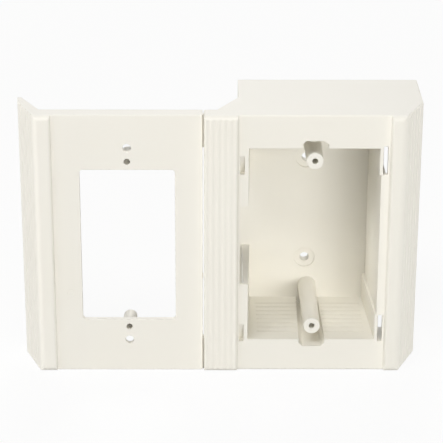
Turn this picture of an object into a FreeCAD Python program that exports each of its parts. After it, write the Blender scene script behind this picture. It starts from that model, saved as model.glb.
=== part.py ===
import FreeCAD, Part
import math
import os
import re
import Sketcher
from FreeCAD import Vector

# Frame: X to the right, Y back to the wall, Z up, millimetres. The origin lies on the wall plane
# behind the centre of the box's device opening, so the fronts of the mouldings have negative Y.

doc = FreeCAD.newDocument("surface_raceway_box")
sheet = doc.addObject("Spreadsheet::Sheet", "Sizes")

sizes = [
    ("part_height", 128.8, "outside height of both mouldings"),
    ("face_depth", 58.0, "recessed front face to the wall plane"),
    ("rail_proud", 2.5, "rails in front of the recessed face"),
    ("face_wall", 2.4, "wall behind the recessed face"),
    ("rail_wall", 3.2, "wall behind a rail"),
    ("side_wall", 2.2, "wings and side walls"),
    ("end_wall", 2.2, "top and bottom walls"),
    ("opening_half", 30.8, "half width of the box opening"),
    ("opening_tall", 48.3, "half height of the box opening"),
    ("seam_land", 4.9, "recessed face from the opening to the fluted rail"),
    ("outer_land", 4.2, "recessed face from the opening to the outer rail"),
    ("fluted_rail", 15.95, "width of the fluted rail"),
    ("box_rail", 6.5, "width of the outer rail on the box"),
    ("plate_rail", 7.6, "width of the outer rail on the plate"),
    ("box_run", 10.0, "wing of the box, sideways"),
    ("plate_run", 9.3, "wing of the plate, sideways"),
    ("wing_back", 23.0, "wings, backwards"),
    ("side_flare", 0.8, "lean of the side walls from the wing to their rear edge"),
    ("rail_round", 1.2, "radius along the inner edges of the rails"),
    ("wing_round", 3.0, "radius from a rail to its wing"),
    ("side_round", 0.8, "radius from a wing to its side wall"),
    ("box_rim", 0.8, "radius round the ends of the box"),
    ("plate_rim", 0.4, "radius round the ends of the plate"),
    ("cover_depth", 8.5, "recessed face to the cover of the raceway"),
    ("slope_run", 10.1, "sloping side of the raceway cover, sideways"),
    ("slope_back", 19.8, "sloping side of the raceway cover, backwards"),
    ("skirt_land", 2.4, "outside of the tub to the left wall of the box"),
    ("foot_land", 1.95, "rear edge of the plate's side wall"),
    ("device_pitch", 83.34, "device screws, top to bottom"),
    ("cover_step", 6.75, "device screw to the cover plate screw beyond it"),
    ("corner_step", 0.8, "opening narrower beside the snap slots"),
    ("corner_rear", 1.5, "tub narrower beside the snap slots, at its back"),
    ("corner_lip", 0.2, "snap slot to the start of the narrower corner"),
    ("tub_wall", 2.2, "walls of the inner tub"),
    ("back_stand", 6.0, "inside of the tub's back to the wall plane"),
    ("back_wall", 3.0, "back of the inner tub"),
    ("tub_draft", 1.6, "each side of the tub closer in at its back"),
    ("trough_half", 6.2, "half width of the clearance round a post"),
    ("trough_reach", 3.6, "that clearance beyond the end of the opening"),
    ("trough_bevel", 1.8, "corner bevel of that clearance"),
    ("post_foot", 4.6, "post radius at the back wall"),
    ("post_draft", 0.75, "draft of the posts, degrees"),
    ("post_drop", 1.15, "post tip behind the recessed face"),
    ("post_bore", 2.8, "pilot hole in a post, diameter"),
    ("bore_deep", 24.0, "depth of the pilot hole"),
    ("post_rib", 2.4, "thickness of the rib that steadies a post"),
    ("rib_long", 34.0, "length of that rib from the back wall"),
    ("anchor_pitch", 53.0, "wall screws, top to bottom"),
    ("anchor_shift", 1.5, "wall screws to the left of the device centre"),
    ("anchor_bore", 4.5, "wall screw hole, diameter"),
    ("anchor_seat", 10.4, "seat round a wall screw, diameter"),
    ("seat_deep", 0.8, "depth of that seat"),
    ("land_half", 6.0, "half width of the raised land that meets the wall"),
    ("land_round", 4.5, "corner radius of that land"),
    ("slot_wide", 2.2, "width of a snap slot"),
    ("slot_long", 13.8, "length of a snap slot"),
    ("slot_reach", 1.0, "snap slot beyond the end of the opening"),
    ("slot_seam", 3.0, "opening to the middle of a left snap slot"),
    ("slot_outer", 1.8, "opening to the middle of a right snap slot"),
    ("slot_deep", 14.0, "depth of the snap slots"),
    ("ramp_long", 9.0, "length of the ramp in a left snap slot"),
    ("ramp_deep", 4.0, "depth of that ramp at its foot"),
    ("house_wall", 1.5, "walls of the housing behind a left snap slot"),
    ("notch_land", 1.5, "outside of the tub to the notch in the bottom wall"),
    ("notch_wide", 7.5, "width of that notch"),
    ("notch_deep", 12.5, "length of that notch from the rear edge"),
    ("cable_half", 19.75, "half height of the cable way in the left wall"),
    ("cable_reach", 3.9, "cable way beyond the side of the opening"),
    ("score_first", 8.2, "tub's back to the first score line on its floor"),
    ("score_pitch", 4.9, "spacing of the score lines"),
    ("score_wide", 0.6, "width of a score line"),
    ("score_deep", 0.25, "depth of a score line"),
    ("score_inset", 4.7, "side of the opening to the end of a score line"),
    ("flute_margin", 2.275, "edge of the rail to the first flute"),
    ("flute_round", 1.8, "radius of a flute"),
    ("flute_deep", 0.25, "depth of a flute"),
    ("groove_first", 4.0, "first groove from the top of the wing"),
    ("groove_pitch", 4.0, "spacing of the wing grooves"),
    ("groove_round", 0.8, "radius of a wing groove"),
    ("groove_deep", 0.4, "depth of a wing groove"),
    ("window_half", 22.2, "half width of the plate window"),
    ("window_land", 3.87, "device screw to the end of the window"),
    ("window_round", 1.5, "corner radius of the window"),
    ("device_bore", 1.5, "device screw hole in the plate, radius"),
    ("cover_bore", 2.0, "cover screw hole in the plate, radius"),
    ("boss_round", 3.25, "boss behind a device screw hole, radius"),
    ("boss_deep", 13.0, "rear end of that boss behind the recessed face"),
    ("gate_land", 5.4, "side of the window to the gate mark"),
    ("gate_low", 24.2, "gate mark below the middle"),
    ("gate_round", 1.8, "gate mark, radius"),
    ("gate_deep", 0.12, "depth of the gate mark"),
    ("pin_round", 2.5, "ejector mark, radius"),
    ("pin_deep", 0.2, "depth of an ejector mark"),
    ("pin_land", 6.5, "side of the window or the tub to an ejector mark"),
    ("pin_step", 10.3, "device screw to the level of the plate's ejector marks"),
    ("seam_gap", 0.7, "gap between the plate and the fluted rail"),
    ("pivot_deep", 2.6, "hinge axis behind the recessed face"),
    ("bead_round", 1.1, "hinge bead radius"),
    ("bead_play", 0.08, "running clearance round a bead"),
    ("bead_long", 16.0, "length of a hinge bead"),
    ("bead_neck", 0.77, "neck of a bead behind the hinge axis"),
    ("cup_round", 2.5, "hinge cup, outside radius"),
    ("cup_play", 0.35, "end clearance of a hinge cup"),
    ("cup_mouth", 65.0, "open side of a cup past the seam, degrees"),
    ("neck_gap", 0.25, "bead to the neck that carries its cup"),
    ("neck_lap", 0.6, "that neck sunk into what it joins"),
    ("nib_low", 17.5, "lower end of the spacing nib, below the middle"),
    ("nib_tall", 2.3, "height of the spacing nib"),
    ("cut_clear", 10.0, "cuts run this far past the outside"),
]

flute_count = 5
groove_count = 5
score_count = 8
near = 0.01

for row, (alias, number, note) in enumerate(sizes, start=1):
    sheet.set("A%d" % row, alias)
    sheet.set("B%d" % row, "%g" % number)
    sheet.setAlias("B%d" % row, alias)
    sheet.set("C%d" % row, note)
doc.recompute()


def bound(text):
    return re.sub(r"[a-z]+_[a-z]+", lambda name: "Sizes." + name.group(), text)


def amount(text):
    return float(sheet.evalExpression(bound(text)))


def hold(sketch, kind, places, text):
    index = sketch.addConstraint(Sketcher.Constraint(kind, *places, amount(text)))
    sketch.setExpression("Constraints[%d]" % index, bound(text))


def drawing(body, name, role, lift="0"):
    sketch = body.newObject("Sketcher::SketchObject", name)
    plane = [item for item in body.Origin.OriginFeatures if item.Role == role][0]
    sketch.AttachmentSupport = [(plane, "")]
    sketch.MapMode = "FlatFace"
    sketch.setExpression("AttachmentOffset.Base.z", bound(lift))
    return sketch


def polygon(sketch, corners):
    first = sketch.GeometryCount
    count = len(corners)
    points = [Vector(amount(x), amount(y), 0) for x, y in corners]
    for i in range(count):
        sketch.addGeometry(Part.LineSegment(points[i], points[(i + 1) % count]), False)
    for i in range(count):
        sketch.addConstraint(Sketcher.Constraint("Coincident", first + i, 2, first + (i + 1) % count, 1))
    for i, (x, y) in enumerate(corners):
        hold(sketch, "DistanceX", (-1, 1, first + i, 1), x)
        hold(sketch, "DistanceY", (-1, 1, first + i, 1), y)


def rectangle(sketch, left, right, low, high):
    polygon(sketch, [(left, low), (right, low), (right, high), (left, high)])


def disc(sketch, x, y, radius):
    circle = Part.Circle(Vector(amount(x), amount(y), 0), Vector(0, 0, 1), amount(radius))
    index = sketch.addGeometry(circle, False)
    hold(sketch, "DistanceX", (-1, 1, index, 3), x)
    hold(sketch, "DistanceY", (-1, 1, index, 3), y)
    hold(sketch, "Radius", (index,), radius)


def grow(body, sketch, name, length, **settings):
    feature = body.newObject("PartDesign::Pad", name)
    return finish(body, feature, sketch, length, settings, 1)


def cut(body, sketch, name, length, **settings):
    feature = body.newObject("PartDesign::Pocket", name)
    return finish(body, feature, sketch, length, settings, -1)


def finish(body, feature, sketch, length, settings, sense):
    before = feature.BaseFeature.Shape.Volume if feature.BaseFeature else 0.0
    feature.Profile = sketch
    feature.setExpression("Length", bound(length))
    for setting, value in settings.items():
        if setting == "TaperAngle":
            feature.setExpression(setting, bound(value))
        else:
            setattr(feature, setting, value)
    body.Tip = feature
    doc.recompute()
    if (feature.Shape.Volume - before) * sense <= 0:
        raise RuntimeError(feature.Name + " does not change its body")
    return feature


def sink(body, name, mouth, bottom):
    feature = body.newObject("PartDesign::SubtractiveLoft", name)
    feature.Profile = mouth
    feature.Sections = [bottom]
    feature.Ruled = True
    body.Tip = feature
    doc.recompute()
    return feature


def drill(body, sketch, name, diameter, deep="", seat="", seat_deep=""):
    doc.recompute()
    feature = body.newObject("PartDesign::Hole", name)
    feature.Profile = sketch
    feature.setExpression("Diameter", bound(diameter))
    feature.DepthType = "Dimension" if deep else "ThroughAll"
    if deep:
        feature.setExpression("Depth", bound(deep))
        feature.DrillPoint = "Flat"
    if seat:
        feature.HoleCutType = "Counterbore"
        feature.HoleCutCustomValues = True
        feature.setExpression("HoleCutDiameter", bound(seat))
        feature.setExpression("HoleCutDepth", bound(seat_deep))
    body.Tip = feature
    doc.recompute()
    return feature


def soften(body, name, radius, wanted):
    base = body.Tip
    edges = ["Edge%d" % (i + 1) for i, edge in enumerate(base.Shape.Edges) if wanted(edge)]
    feature = body.newObject("PartDesign::Fillet", name)
    feature.Base = (base, edges)
    feature.setExpression("Radius", bound(radius))
    body.Tip = feature
    doc.recompute()
    return feature


def upright(edge, places):
    ends = [vertex.Point for vertex in edge.Vertexes]
    if len(ends) != 2 or abs(ends[0].z - ends[1].z) < near:
        return False
    return any(abs(ends[0].x - amount(x)) + abs(ends[0].y - amount(y)) < near for x, y in places)


def rim(edge, wanted):
    level = amount(half_tall)
    ends = [vertex.Point for vertex in edge.Vertexes]
    if any(abs(abs(point.z) - level) > near for point in ends):
        return False
    return wanted(edge.CenterOfMass)


def roundedBox(sketch, middle, half, tall, radius):
    low = "-(" + tall + " - " + radius + ")"
    high = "(" + tall + " - " + radius + ")"
    left = middle + " - (" + half + " - " + radius + ")"
    right = middle + " + (" + half + " - " + radius + ")"
    corners = [(right, low), (right, high), (left, high), (left, low)]
    centres = [Vector(amount(x), amount(z), 0) for x, z in corners]
    reach = amount(radius)
    first = sketch.GeometryCount
    quarter = math.pi / 2
    for i, centre in enumerate(centres):
        circle = Part.Circle(centre, Vector(0, 0, 1), reach)
        start = (i - 1) * quarter
        sketch.addGeometry(Part.ArcOfCircle(circle, start, start + quarter), False)
    for i in range(4):
        arc = sketch.Geometry[first + i]
        following = sketch.Geometry[first + (i + 1) % 4]
        sketch.addGeometry(Part.LineSegment(arc.EndPoint, following.StartPoint), False)
    for i in range(4):
        sketch.addConstraint(Sketcher.Constraint("Tangent", first + i, 2, first + 4 + i, 1))
        sketch.addConstraint(Sketcher.Constraint("Tangent", first + 4 + i, 2, first + (i + 1) % 4, 1))
        hold(sketch, "Radius", (first + i,), radius)
    for i in (0, 2):
        hold(sketch, "DistanceX", (-1, 1, first + i, 3), corners[i][0])
        hold(sketch, "DistanceY", (-1, 1, first + i, 3), corners[i][1])
    sketch.addConstraint(Sketcher.Constraint("Vertical", first + 4))


def mirrored(body, name, feature):
    mirror = body.newObject("PartDesign::Mirrored", name)
    plane = [item for item in body.Origin.OriginFeatures if item.Role == "XY_Plane"][0]
    mirror.Originals = [feature]
    mirror.MirrorPlane = (plane, [""])
    body.Tip = mirror
    doc.recompute()
    return mirror


def joined(text, *names):
    return "(" + text % names + ")"


face_y = "-face_depth"
face_back = "(face_wall - face_depth)"
rail_y = "-(face_depth + rail_proud)"
rail_back = "(rail_wall - face_depth - rail_proud)"
wing_y = "(wing_back - face_depth - rail_proud)"
cover_y = "(cover_depth - face_depth)"
skirt_y = "(cover_depth + slope_back - face_depth)"
tub_x = "(opening_half + tub_wall)"
tub_z = "(opening_tall + tub_wall)"
tub_deep = "(face_depth - back_stand)"
seam_half = "(opening_half + seam_land)"
outer_half = "(opening_half + outer_land)"
seam_x = joined("-%s - fluted_rail", seam_half)
plate_x = joined("%s - %s", seam_x, seam_half)
plate_edge = joined("%s - seam_gap", seam_x)
plate_step = joined("%s - %s", plate_x, outer_half)
plate_wing = joined("%s - plate_rail", plate_step)
plate_side = joined("%s - plate_run", plate_wing)
plate_rear = joined("%s - side_flare", plate_side)
plate_foot = joined("%s + foot_land", plate_rear)
box_left = joined("-%s - skirt_land", tub_x)
box_wing = joined("%s + box_rail", outer_half)
box_side = joined("%s + box_run", box_wing)
box_rear = joined("%s + side_flare", box_side)
cover_left = joined("%s + slope_run", plate_foot)
cover_right = joined("%s - slope_run", box_left)
land_deep = "(back_stand - back_wall)"
half_tall = "(part_height / 2)"
top_z = "(part_height / 2 - end_wall)"
inside_tall = "(part_height - 2 * end_wall)"
through_tall = "(part_height + 2 * cut_clear)"
through_wide = "(3 * part_height)"
through_deep = "(boss_deep + cut_clear)"
trough_z = "(opening_tall + trough_reach)"
slot_top = "(opening_tall + slot_reach)"
slot_foot = joined("%s - slot_long", slot_top)
corner_z = joined("%s - corner_lip", slot_foot)
device_z = "(device_pitch / 2)"
cover_z = joined("%s + cover_step", device_z)
window_z = joined("%s - window_land", device_z)
pivot_x = joined("%s - seam_gap / 2", seam_x)
pivot_y = "(pivot_deep - face_depth)"
cup_tall = joined("%s - 2 * cup_play", inside_tall)
cup_reach = "(2 * cup_round)"
bead_low = joined("%s - bead_long", half_tall)


def slantOf(run):
    return "sqrt(%s ^ 2 + wing_back ^ 2)" % run


def wingInset(run):
    return "side_wall * %s / wing_back" % slantOf(run)


def wingGrooves(body, name, corner, sense, run):
    sketch = drawing(body, name + "_lines", "XY_Plane")
    out = "(groove_round - groove_deep)"
    for i in range(groove_count):
        along = "(groove_first + %d * groove_pitch)" % i
        x = "%s %s (%s * %s + %s * wing_back) / %s" % (corner, sense, along, run, out, slantOf(run))
        y = "%s + (%s * wing_back - %s * %s) / %s" % (rail_y, along, out, run, slantOf(run))
        disc(sketch, x, y, "groove_round")
    cut(body, sketch, name, through_tall, Midplane=True)


def railEnds(body, name):
    sketch = drawing(body, name + "_side", "YZ_Plane")
    start = joined("%s - rail_proud", half_tall)
    ahead = rail_y + " - cut_clear"
    above = half_tall + " + cut_clear"
    corners = [(rail_y, start), (face_y, half_tall), (face_y, above), (ahead, above), (ahead, start)]
    points = [Vector(amount(y), amount(z), 0) for y, z in corners]
    centre = Vector(amount(face_y), amount(start), 0)
    circle = Part.Circle(centre, Vector(0, 0, 1), amount("rail_proud"))
    sketch.addGeometry(Part.ArcOfCircle(circle, math.pi / 2, math.pi), False)
    for i in range(1, 5):
        sketch.addGeometry(Part.LineSegment(points[i], points[(i + 1) % 5]), False)
    for ends in ((0, 1, 1, 1), (1, 2, 2, 1), (2, 2, 3, 1), (3, 2, 4, 1), (4, 2, 0, 2)):
        sketch.addConstraint(Sketcher.Constraint("Coincident", *ends))
    hold(sketch, "DistanceX", (-1, 1, 0, 3), face_y)
    hold(sketch, "DistanceY", (-1, 1, 0, 3), start)
    hold(sketch, "Radius", (0,), "rail_proud")
    hold(sketch, "DistanceX", (-1, 1, 0, 1), face_y)
    hold(sketch, "DistanceY", (-1, 1, 0, 2), start)
    for i in (2, 3, 4):
        hold(sketch, "DistanceX", (-1, 1, i, 1), corners[i][0])
        hold(sketch, "DistanceY", (-1, 1, i, 1), corners[i][1])
    upper = cut(body, sketch, name + "_upper", through_wide, Midplane=True)
    mirrored(body, name, upper)


def pinMarks(body, name, middle, out, tall, lift):
    sketch = drawing(body, name + "_rounds", "XZ_Plane", lift)
    for x in (joined("%s - %s", middle, out), joined("%s + %s", middle, out)):
        for sign in ("", "-"):
            disc(sketch, x, sign + tall, "pin_round")
    cut(body, sketch, name, "pin_deep", Reversed=True)


def shellOf(body):
    plan = drawing(body, "box_plan", "XY_Plane")
    polygon(plan, [
        (seam_x, rail_y), ("-" + seam_half, rail_y), ("-" + seam_half, face_y), (outer_half, face_y),
        (outer_half, rail_y), (box_wing, rail_y), (box_side, wing_y), (box_rear, "0"),
        (box_left, "0"), (box_left, skirt_y), (cover_right, cover_y), (seam_x, cover_y)])
    grow(body, plan, "box_block", "part_height", Midplane=True)
    rails = [(seam_x, rail_y), ("-" + seam_half, rail_y), (outer_half, rail_y)]
    soften(body, "rail_edges", "rail_round", lambda edge: upright(edge, rails))
    soften(body, "wing_edge", "wing_round", lambda edge: upright(edge, [(box_wing, rail_y)]))
    soften(body, "side_edge", "side_round", lambda edge: upright(edge, [(box_side, wing_y)]))
    front = amount(cover_y + " - box_rim")
    right = amount(outer_half)
    soften(body, "end_edges", "box_rim", lambda edge: rim(edge, lambda p: p.y < front or p.x > right))
    railEnds(body, "box_rail_ends")

    raceway = drawing(body, "raceway_space", "XY_Plane")
    past_seam = seam_x + " - cut_clear"
    rail_inside = joined("-%s - side_wall", seam_half)
    polygon(raceway, [
        (past_seam, rail_back), (rail_inside, rail_back), (rail_inside, face_back),
        ("-" + tub_x, face_back), ("-" + tub_x, "-back_stand"), (past_seam, "-back_stand")])
    cut(body, raceway, "raceway_room", inside_tall, Midplane=True)

    hollow = drawing(body, "side_hollow", "XY_Plane")
    inset = wingInset("box_run")
    polygon(hollow, [
        (tub_x, "cut_clear"), (tub_x, face_back), (outer_half + " + side_wall", face_back),
        (outer_half + " + side_wall", rail_back),
        (box_wing + " + box_run * rail_wall / wing_back - " + inset, rail_back),
        (box_side + " - " + inset, wing_y), (box_rear + " - side_wall", "cut_clear")])
    cut(body, hollow, "side_room", inside_tall, Midplane=True)

    ends = drawing(body, "end_hollows", "XZ_Plane")
    bulge_x = "(trough_half + tub_wall)"
    bulge_z = joined("%s + tub_wall", trough_z)
    room_right = tub_x + " + side_wall"
    for sign in ("", "-"):
        corners = [("-opening_half", tub_z), ("-" + bulge_x, tub_z), ("-" + bulge_x, bulge_z),
                   (bulge_x, bulge_z), (bulge_x, tub_z), (room_right, tub_z),
                   (room_right, top_z), ("-opening_half", top_z)]
        polygon(ends, [(x, sign + z) for x, z in corners])
    cut(body, ends, "end_rooms", "face_depth - face_wall", Reversed=True)

    rear = drawing(body, "rear_hollow", "XZ_Plane")
    rectangle(rear, box_left + " + side_wall", room_right, "-" + top_z, top_z)
    cut(body, rear, "rear_room", land_deep, Reversed=True)
    land = drawing(body, "land_outline", "XZ_Plane")
    roundedBox(land, "-anchor_shift", "land_half", "(anchor_pitch / 2 + land_half)", "land_round")
    grow(body, land, "wall_land", land_deep + " + back_wall / 2")
    pinMarks(body, "box_pins", "0", "(opening_half - pin_land)", "(opening_tall - pin_land)", land_deep)


def tubOf(body):
    bottom_lift = "back_stand"
    mouth = drawing(body, "tub_mouth", "XZ_Plane", "face_depth")
    bottom = drawing(body, "tub_bottom", "XZ_Plane", bottom_lift)
    for sketch, inset, step in ((mouth, "0", "corner_step"), (bottom, "tub_draft", "corner_rear")):
        wide = "(opening_half - %s)" % inset
        narrow = "(opening_half - %s - %s)" % (step, inset)
        corners = [(narrow, "opening_tall"), (narrow, corner_z), (wide, corner_z)]
        right_half = corners + [(x, "-" + z) for x, z in reversed(corners)]
        polygon(sketch, right_half + [("-" + wide, "-opening_tall"), ("-" + wide, "opening_tall")])
    sink(body, "tub", mouth, bottom)

    for sign, name in (("", "upper"), ("-", "lower")):
        mouth = drawing(body, name + "_notch", "XZ_Plane", "face_depth")
        bottom = drawing(body, name + "_notch_end", "XZ_Plane", bottom_lift)
        low = sign + joined("%s - trough_bevel", trough_z)
        for sketch, inset in ((mouth, "0"), (bottom, "tub_draft / 2")):
            wide = "(trough_half - %s)" % inset
            flat = "(trough_half - trough_bevel - %s)" % inset
            polygon(sketch, [
                ("-" + wide, sign + corner_z), (wide, sign + corner_z), (wide, low),
                (flat, sign + trough_z), ("-" + flat, sign + trough_z), ("-" + wide, low)])
        sink(body, name + "_trough", mouth, bottom)

    scores = drawing(body, "score_lines", "XY_Plane", "-opening_tall")
    score_half = "(opening_half - score_inset)"
    for i in range(score_count):
        line_y = "-(back_stand + score_first + %d * score_pitch)" % i
        rectangle(scores, "-" + score_half, score_half, line_y + " - score_wide / 2",
                  line_y + " + score_wide / 2")
    cut(body, scores, "floor_scores", "score_deep")

    posts = drawing(body, "post_feet", "XZ_Plane", bottom_lift)
    ribs = drawing(body, "rib_feet", "XZ_Plane", bottom_lift)
    tips = drawing(body, "post_tips", "XZ_Plane", "face_depth - post_drop")
    anchors = drawing(body, "anchors", "XZ_Plane", bottom_lift)
    for sign in ("", "-"):
        disc(posts, "0", sign + device_z, "post_foot")
        disc(tips, "0", sign + device_z, "post_bore / 2")
        disc(anchors, "-anchor_shift", sign + "anchor_pitch / 2", "anchor_bore / 2")
        rectangle(ribs, "-post_rib / 2", "post_rib / 2", sign + device_z,
                  sign + joined("%s + tub_wall / 2", trough_z))
    grow(body, posts, "posts", tub_deep + " - post_drop", TaperAngle="-post_draft")
    grow(body, ribs, "post_ribs", "rib_long")
    drill(body, tips, "post_bores", "post_bore", "bore_deep")
    drill(body, anchors, "wall_bores", "anchor_bore", "", "anchor_seat", "seat_deep")

    houses = drawing(body, "housings", "XZ_Plane", "face_depth - face_wall / 2")
    ramps = drawing(body, "ramp_sides", "YZ_Plane", "-(opening_half + slot_seam)")
    slots = drawing(body, "slots", "XZ_Plane", "face_depth")
    outer_slot = "(opening_half + slot_outer)"
    for sign, low in (("", slot_foot), ("-", "-" + slot_top)):
        high = low + " + ramp_long"
        rectangle(houses, "-(opening_half + slot_seam + slot_wide / 2 + house_wall)",
                  "-(opening_half + tub_wall / 2)", low + " - house_wall", high)
        polygon(ramps, [(face_y + " - ramp_deep", low), (face_y + " + ramp_deep", low), (face_y, high),
                        (face_y + " - ramp_deep", high)])
        rectangle(slots, outer_slot + " - slot_wide / 2", outer_slot + " + slot_wide / 2",
                  sign + slot_foot, sign + slot_top)
    grow(body, houses, "slot_housings", "ramp_deep + house_wall - face_wall / 2", Reversed=True)
    cut(body, ramps, "slot_ramps", "slot_wide", Midplane=True)
    cut(body, slots, "snap_slots", "slot_deep")

    notch = drawing(body, "notch_outline", "XY_Plane", "-" + top_z)
    notch_left = joined("%s + notch_land", tub_x)
    rectangle(notch, notch_left, notch_left + " + notch_wide", "-notch_deep", "cut_clear")
    cut(body, notch, "rear_notch", "end_wall + cut_clear")

    way = drawing(body, "cable_opening", "XZ_Plane", "face_depth")
    rectangle(way, "-(opening_half + cable_reach)", "-(opening_half - tub_draft)",
              "-cable_half", "cable_half")
    cut(body, way, "cable_way", tub_deep)


def cupsOf(body):
    cups = drawing(body, "cup_rounds", "XY_Plane")
    disc(cups, pivot_x, pivot_y, "cup_round")
    grow(body, cups, "cup_blanks", cup_tall, Midplane=True)
    roots = drawing(body, "cup_roots", "XY_Plane")
    rectangle(roots, pivot_x + " + bead_round + neck_gap", pivot_x + " + cup_round + neck_lap",
              rail_back + " - neck_lap", pivot_y + " + bead_round")
    grow(body, roots, "cup_necks", cup_tall, Midplane=True)
    mouths = drawing(body, "cup_openings", "XY_Plane")
    polygon(mouths, [
        (seam_x, rail_y), (seam_x, pivot_y), (pivot_x, pivot_y),
        (pivot_x + " - cup_round * cos(cup_mouth)", pivot_y + " + cup_round * sin(cup_mouth)"),
        (pivot_x + " - " + cup_reach, pivot_y + " + " + cup_reach), (pivot_x + " - " + cup_reach, rail_y)])
    cut(body, mouths, "cup_mouths", cup_tall, Midplane=True)
    middle = drawing(body, "cup_middle", "XY_Plane")
    rectangle(middle, pivot_x + " - " + cup_reach, pivot_x + " + " + cup_reach, rail_back,
              pivot_y + " + " + cup_reach)
    cut(body, middle, "cup_parting", "part_height - 2 * (bead_long + cup_play)", Midplane=True)
    bores = drawing(body, "cup_bores", "XY_Plane")
    disc(bores, pivot_x, pivot_y, "bead_round + bead_play")
    cut(body, bores, "cups", through_tall, Midplane=True)


def offsetBox():
    body = doc.addObject("PartDesign::Body", "offset_box")
    body.Label = "offset_box"
    shellOf(body)
    tubOf(body)

    flutes = drawing(body, "flute_lines", "XY_Plane")
    for i in range(flute_count):
        share = "(flute_margin + %d * (fluted_rail - 2 * flute_margin) / %d)" % (i, flute_count - 1)
        disc(flutes, seam_x + " + " + share, rail_y + " - flute_round + flute_deep", "flute_round")
    cut(body, flutes, "flutes", through_tall, Midplane=True)
    wingGrooves(body, "box_grooves", box_wing, "+", "box_run")
    cupsOf(body)
    return body


def beadsOf(body):
    beads = drawing(body, "bead_rounds", "XY_Plane", bead_low)
    disc(beads, pivot_x, pivot_y, "bead_round")
    bead = grow(body, beads, "upper_bead", "bead_long")
    mirrored(body, "beads", bead)
    roots = drawing(body, "bead_roots", "XY_Plane", bead_low)
    rectangle(roots, pivot_x + " - 2 * bead_round", pivot_x + " - bead_round / 2",
              pivot_y + " - bead_round", pivot_y + " + bead_neck")
    root = grow(body, roots, "upper_root", "bead_long")
    mirrored(body, "bead_necks", root)

    nib = drawing(body, "nib_outline", "XZ_Plane", "-" + pivot_y + " + bead_round / 2")
    rectangle(nib, plate_edge + " - seam_gap", plate_edge + " + seam_gap / 2",
              "-nib_low", "nib_tall - nib_low")
    grow(body, nib, "nib", "bead_round", Reversed=True)


def devicePlate():
    body = doc.addObject("PartDesign::Body", "device_plate")
    body.Label = "device_plate"

    plan = drawing(body, "plate_plan", "XY_Plane")
    polygon(plan, [
        (plate_edge, face_y), (plate_step, face_y), (plate_step, rail_y), (plate_wing, rail_y),
        (plate_side, wing_y), (plate_rear, skirt_y), (plate_foot, skirt_y),
        (cover_left, cover_y), (plate_edge, cover_y)])
    grow(body, plan, "plate_block", "part_height", Midplane=True)
    soften(body, "rail_edge", "rail_round", lambda edge: upright(edge, [(plate_step, rail_y)]))
    soften(body, "wing_edge", "wing_round", lambda edge: upright(edge, [(plate_wing, rail_y)]))
    soften(body, "side_edge", "side_round", lambda edge: upright(edge, [(plate_side, wing_y)]))
    front = amount(cover_y + " - plate_rim")
    left = amount(plate_wing)
    soften(body, "end_edges", "plate_rim", lambda edge: rim(edge, lambda p: p.y < front or p.x < left))
    railEnds(body, "plate_rail_ends")

    hollow = drawing(body, "plate_hollow", "XY_Plane")
    past_edge = plate_edge + " + cut_clear"
    inset = wingInset("plate_run")
    polygon(hollow, [
        (past_edge, face_back), (plate_step + " - side_wall", face_back),
        (plate_step + " - side_wall", rail_back),
        (plate_wing + " - plate_run * rail_wall / wing_back + " + inset, rail_back),
        (plate_side + " + " + inset, wing_y), (plate_rear + " + side_wall", skirt_y),
        (plate_rear + " + side_wall", "0"), (past_edge, "0")])
    cut(body, hollow, "plate_room", inside_tall, Midplane=True)

    bosses = drawing(body, "boss_rounds", "XZ_Plane", "face_depth - face_wall / 2")
    small = drawing(body, "device_holes", "XZ_Plane", "face_depth")
    large = drawing(body, "cover_holes", "XZ_Plane", "face_depth")
    for sign in ("", "-"):
        disc(bosses, plate_x, sign + device_z, "boss_round")
        disc(small, plate_x, sign + device_z, "device_bore")
        disc(large, plate_x, sign + cover_z, "cover_bore")
    grow(body, bosses, "bosses", "boss_deep - face_wall / 2", Reversed=True)
    window = drawing(body, "window_outline", "XZ_Plane", "face_depth")
    roundedBox(window, plate_x, "window_half", window_z, "window_round")
    cut(body, window, "window", through_deep)
    cut(body, small, "device_bores", through_deep)
    cut(body, large, "cover_bores", through_deep)
    gate = drawing(body, "gate_outline", "XZ_Plane", "face_depth")
    disc(gate, plate_x + " - window_half - gate_land", "-gate_low", "gate_round")
    cut(body, gate, "gate_mark", "gate_deep")
    pinMarks(body, "plate_pins", plate_x, "(window_half + pin_land)", joined("%s + pin_step", device_z),
             "face_depth - face_wall")
    wingGrooves(body, "plate_grooves", plate_wing, "-", "plate_run")
    beadsOf(body)
    return body


bodies = [offsetBox(), devicePlate()]
doc.recompute()
for item in doc.Objects:
    if "Invalid" in item.State or "Error" in item.State:
        raise RuntimeError(item.Name + " is not up to date")
os.makedirs("parts", exist_ok=True)
for body in bodies:
    if body.Shape.isNull() or not body.Shape.isValid():
        raise RuntimeError(body.Label + " has no valid shape")
    body.Shape.exportStep("parts/" + body.Label + ".step")
    print(body.Label, body.Shape.Volume, body.Shape.BoundBox, len(body.Shape.Solids))
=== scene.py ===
import bpy
import math
from mathutils import Matrix, Vector


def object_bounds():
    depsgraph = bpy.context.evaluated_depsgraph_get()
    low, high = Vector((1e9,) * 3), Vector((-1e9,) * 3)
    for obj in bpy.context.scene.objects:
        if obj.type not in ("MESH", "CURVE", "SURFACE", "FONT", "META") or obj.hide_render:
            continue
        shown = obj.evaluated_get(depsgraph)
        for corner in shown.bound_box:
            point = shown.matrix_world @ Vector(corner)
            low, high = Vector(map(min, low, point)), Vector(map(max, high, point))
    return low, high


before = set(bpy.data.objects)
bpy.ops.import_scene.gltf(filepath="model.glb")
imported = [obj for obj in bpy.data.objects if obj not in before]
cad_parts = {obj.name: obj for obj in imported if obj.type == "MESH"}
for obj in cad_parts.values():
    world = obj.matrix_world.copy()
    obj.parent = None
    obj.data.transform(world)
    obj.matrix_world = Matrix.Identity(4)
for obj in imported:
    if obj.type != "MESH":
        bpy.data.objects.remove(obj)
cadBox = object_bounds()
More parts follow.
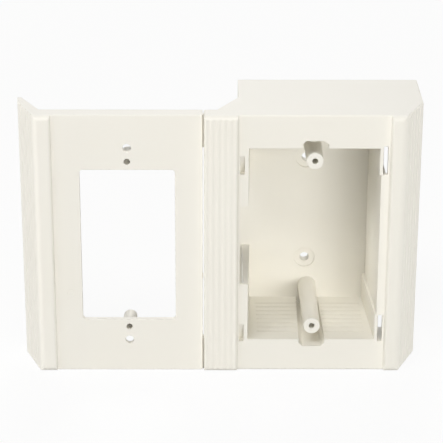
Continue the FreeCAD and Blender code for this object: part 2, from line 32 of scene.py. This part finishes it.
scene = bpy.context.scene
scene.view_settings.view_transform = "Standard"
millimetre = 0.001  # in the scene's metres
print("frame loaded:", ", ".join(sorted(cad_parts)))


def linear(hexColour):  # "#RRGGBB" in sRGB to the linear colour that the nodes take
    parts = [int(hexColour[i:i + 2], 16) / 255 for i in (1, 3, 5)]
    return [p / 12.92 if p <= 0.04045 else ((p + 0.055) / 1.055) ** 2.4 for p in parts] + [1.0]


def addNode(tree, kind, sockets, **settings):  # a socket takes a number, a colour, or an output to link from
    node = tree.nodes.new(kind)
    for name, value in settings.items():
        setattr(node, name, value)
    for name, value in sockets.items():
        if isinstance(value, bpy.types.NodeSocket):
            tree.links.new(value, node.inputs[name])
        else:
            node.inputs[name].default_value = value
    return node


def patternScale(wide):  # for a pattern whose features are this many millimetres wide
    return 1 / (wide * millimetre)


# camera at the photograph's view, in metres and degrees, square frame
cameraSetup = {
    "at": (-0.047144, -0.842110, 0.309538),
    "yaw": 0.272,  # to the right of straight at the wall
    "pitch": 20.764,  # down
    "roll": 0.16,
    "lens": 145.34,  # mm
    "sensor": 36.0,  # mm
    "clip": (0.01, 50.0),  # nearest and farthest seen
}
cameraData = bpy.data.cameras.new("photoCamera")
cameraData.lens = cameraSetup["lens"]
cameraData.sensor_width = cameraSetup["sensor"]
cameraData.clip_start, cameraData.clip_end = cameraSetup["clip"]
camera = bpy.data.objects.new("photoCamera", cameraData)
scene.collection.objects.link(camera)
camera.matrix_world = (
    Matrix.Translation(cameraSetup["at"])
    @ Matrix.Rotation(math.radians(-cameraSetup["yaw"]), 4, "Z")
    @ Matrix.Rotation(math.radians(90 - cameraSetup["pitch"]), 4, "X")
    @ Matrix.Rotation(math.radians(cameraSetup["roll"]), 4, "Z")
)
scene.camera = camera
print("camera set")

# ivory ABS, injection moulded in a spark-eroded tool: a fine even grain that scatters the gloss,
# faint cloudy flow marks in the tone, and crisp edges with the small radius that every moulded edge has
boxFinish = {
    "name": "ivoryAbsMouldedBox",
    "tone": "#F5F2E8",
    "flowTone": "#F4F0E5",
    "flow": 38.0,  # mm between flow clouds
    "flowDetail": 3.0,
    "flowSwirl": 0.8,  # how far the clouds are drawn out
    "grain": 0.9,  # mm, real grain is about 0.2 and would not show
    "grainDetail": 2.0,
    "grainDeep": 0.006,  # mm
    "grainSpan": (0.3, 0.7),  # noise values taken as pit and top
    "wave": 11.0,  # mm between the slow hollows that cooling leaves
    "waveDetail": 1.0,
    "waveDeep": 0.015,  # mm
    "edge": 0.3,  # mm, radius left on sharp moulded edges
    "edgeSamples": 4,
    "gloss": (0.38, 0.5),  # roughness of the grain's pits and tops
    "ior": 1.53,
    "shift": (0.0, 0.0, 0.0),  # metres, moves the pattern
}
plateFinish = dict(
    boxFinish,
    name="ivoryAbsMouldedPlate",
    tone="#F5F2E9",
    flow=46.0,
    shift=(0.31, 0.17, 0.05),  # so that the clouds don't run on from the box
)


def mouldedAbs(finish):
    material = bpy.data.materials.new(finish["name"])
    material.use_nodes = True
    tree = material.node_tree
    tree.nodes.clear()
    place = addNode(tree, "ShaderNodeTexCoord", {}).outputs["Object"]
    moved = addNode(tree, "ShaderNodeMapping",
                    {"Vector": place, "Location": finish["shift"]}).outputs["Vector"]
    flow = addNode(tree, "ShaderNodeTexNoise",
                   {"Vector": moved, "Scale": patternScale(finish["flow"]),
                    "Detail": finish["flowDetail"], "Distortion": finish["flowSwirl"]})
    grain = addNode(tree, "ShaderNodeTexNoise",
                    {"Vector": moved, "Scale": patternScale(finish["grain"]),
                     "Detail": finish["grainDetail"]})
    wave = addNode(tree, "ShaderNodeTexNoise",
                   {"Vector": moved, "Scale": patternScale(finish["wave"]),
                    "Detail": finish["waveDetail"]})
    tone = addNode(tree, "ShaderNodeMix",
                   {0: flow.outputs["Fac"], 6: linear(finish["tone"]), 7: linear(finish["flowTone"])},
                   data_type="RGBA")
    gloss = addNode(tree, "ShaderNodeMapRange",
                    {"Value": grain.outputs["Fac"],
                     "From Min": finish["grainSpan"][0], "From Max": finish["grainSpan"][1],
                     "To Min": finish["gloss"][0], "To Max": finish["gloss"][1]})
    edge = addNode(tree, "ShaderNodeBevel", {"Radius": finish["edge"] * millimetre},
                   samples=finish["edgeSamples"])
    slow = addNode(tree, "ShaderNodeBump",
                   {"Height": wave.outputs["Fac"], "Distance": finish["waveDeep"] * millimetre,
                    "Normal": edge.outputs["Normal"]})
    fine = addNode(tree, "ShaderNodeBump",
                   {"Height": grain.outputs["Fac"], "Distance": finish["grainDeep"] * millimetre,
                    "Normal": slow.outputs["Normal"]})
    shader = addNode(tree, "ShaderNodeBsdfPrincipled",
                     {"Base Color": tone.outputs[2], "Roughness": gloss.outputs["Result"],
                      "Normal": fine.outputs["Normal"], "IOR": finish["ior"]})
    addNode(tree, "ShaderNodeOutputMaterial", {"Surface": shader.outputs["BSDF"]})
    return material


for nodeName, finish in (("offset_box", boxFinish), ("device_plate", plateFinish)):
    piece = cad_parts[nodeName]
    material = mouldedAbs(finish)
    for slot in piece.material_slots:
        slot.material = material
print("moulded ABS on", len(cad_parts), "mouldings")

# studio: pale sweep under the part and soft lamps all round it, like the walls of a light tent
# a lamp's turn is in degrees from the front towards the right, its rise in degrees up, its size in metres
# a lamp that isn't mirrored lights the plastic but leaves no glare on faces seen at a low angle
studio = {
    "floorTone": "#FAFAF8",
    "floorBounce": "#A8A8A7",  # for the light thrown up on the part, darker so that flutes stay crisp
    "floorGlow": 0.9,  # share of plain white that the camera sees on the floor
    "floorHalf": 6.0,  # metres
    "paperGrain": 1.5,  # mm
    "paperDeep": 0.02,  # mm
    "lampReach": 2.8,  # metres from the part's middle
    "lamps": [
        {"name": "keyLamp", "turn": 25, "rise": 5, "size": 1.0, "watts": 24.3, "mirrored": False},
        {"name": "lowFrontLamp", "turn": 10, "rise": 5, "size": 1.0, "watts": 21.4, "mirrored": False},
        {"name": "topLamp", "turn": -8, "rise": 55, "size": 1.0, "watts": 21.3, "mirrored": True},
        {"name": "highLeftLamp", "turn": -46, "rise": 55, "size": 1.0, "watts": 17.7, "mirrored": True},
        {"name": "lowLeftLamp", "turn": -58, "rise": 5, "size": 1.2, "watts": 8.4, "mirrored": True},
        {"name": "leftLamp", "turn": -91, "rise": 11, "size": 1.5, "watts": 36.0, "mirrored": False},
        {"name": "rightLamp", "turn": 100, "rise": 10, "size": 1.5, "watts": 28.5, "mirrored": False},
        {"name": "backLamp", "turn": 180, "rise": 40, "size": 1.2, "watts": 21.0, "mirrored": True},
    ],
}


def cameraSees(tree):  # 1 for the camera and for what mirrors or passes its rays
    path = addNode(tree, "ShaderNodeLightPath", {}).outputs
    direct = addNode(tree, "ShaderNodeMath", {0: path["Is Camera Ray"], 1: path["Is Glossy Ray"]},
                     operation="MAXIMUM")
    return addNode(tree, "ShaderNodeMath", {0: direct.outputs[0], 1: path["Is Transmission Ray"]},
                   operation="MAXIMUM").outputs[0]


def sweepFloor(level):
    half = studio["floorHalf"]
    corners = [(-half, -half, level), (half, -half, level), (half, half, level), (-half, half, level)]
    mesh = bpy.data.meshes.new("sweepFloor")
    mesh.from_pydata(corners, [], [(0, 1, 2, 3)])
    floor = bpy.data.objects.new("sweepFloor", mesh)
    scene.collection.objects.link(floor)
    material = bpy.data.materials.new("mattWhitePaper")  # uncoated paper: no gloss, a faint tooth
    material.use_nodes = True
    tree = material.node_tree
    tree.nodes.clear()
    place = addNode(tree, "ShaderNodeTexCoord", {}).outputs["Object"]
    tooth = addNode(tree, "ShaderNodeTexNoise",
                    {"Vector": place, "Scale": patternScale(studio["paperGrain"])})
    bump = addNode(tree, "ShaderNodeBump",
                   {"Height": tooth.outputs["Fac"], "Distance": studio["paperDeep"] * millimetre})
    bounced = addNode(tree, "ShaderNodeLightPath", {}).outputs["Is Diffuse Ray"]
    tone = addNode(tree, "ShaderNodeMix",
                   {0: bounced, 6: linear(studio["floorTone"]), 7: linear(studio["floorBounce"])},
                   data_type="RGBA")
    paper = addNode(tree, "ShaderNodeBsdfDiffuse",
                    {"Color": tone.outputs[2], "Normal": bump.outputs["Normal"]})
    white = addNode(tree, "ShaderNodeEmission", {"Color": linear("#FFFFFF"), "Strength": 1.0})
    share = addNode(tree, "ShaderNodeMath", {0: cameraSees(tree), 1: studio["floorGlow"]},
                    operation="MULTIPLY")
    mixed = addNode(tree, "ShaderNodeMixShader",
                    {0: share.outputs[0], 1: paper.outputs["BSDF"], 2: white.outputs["Emission"]})
    addNode(tree, "ShaderNodeOutputMaterial", {"Surface": mixed.outputs["Shader"]})
    mesh.materials.append(material)


def whiteSky():  # seen as white, but gives the part no light
    world = bpy.data.worlds.new("whiteSky")
    scene.world = world
    world.use_nodes = True
    tree = world.node_tree
    tree.nodes.clear()
    sky = addNode(tree, "ShaderNodeBackground", {"Color": linear("#FFFFFF"), "Strength": cameraSees(tree)})
    addNode(tree, "ShaderNodeOutputWorld", {"Surface": sky.outputs["Background"]})


def softLamp(lamp, middle):
    turn = math.radians(lamp["turn"])
    rise = math.radians(lamp["rise"])
    outward = Vector((math.sin(turn) * math.cos(rise), -math.cos(turn) * math.cos(rise), math.sin(rise)))
    data = bpy.data.lights.new(lamp["name"], "AREA")
    data.shape = "DISK"
    data.size = lamp["size"]
    data.energy = lamp["watts"]
    light = bpy.data.objects.new(lamp["name"], data)
    scene.collection.objects.link(light)
    light.location = middle + studio["lampReach"] * outward
    light.rotation_euler = outward.to_track_quat("Z", "Y").to_euler()
    light.visible_glossy = lamp["mirrored"]


sweepFloor(cadBox[0].z)
whiteSky()
for lamp in studio["lamps"]:
    softLamp(lamp, (cadBox[0] + cadBox[1]) / 2)
print("studio lit")
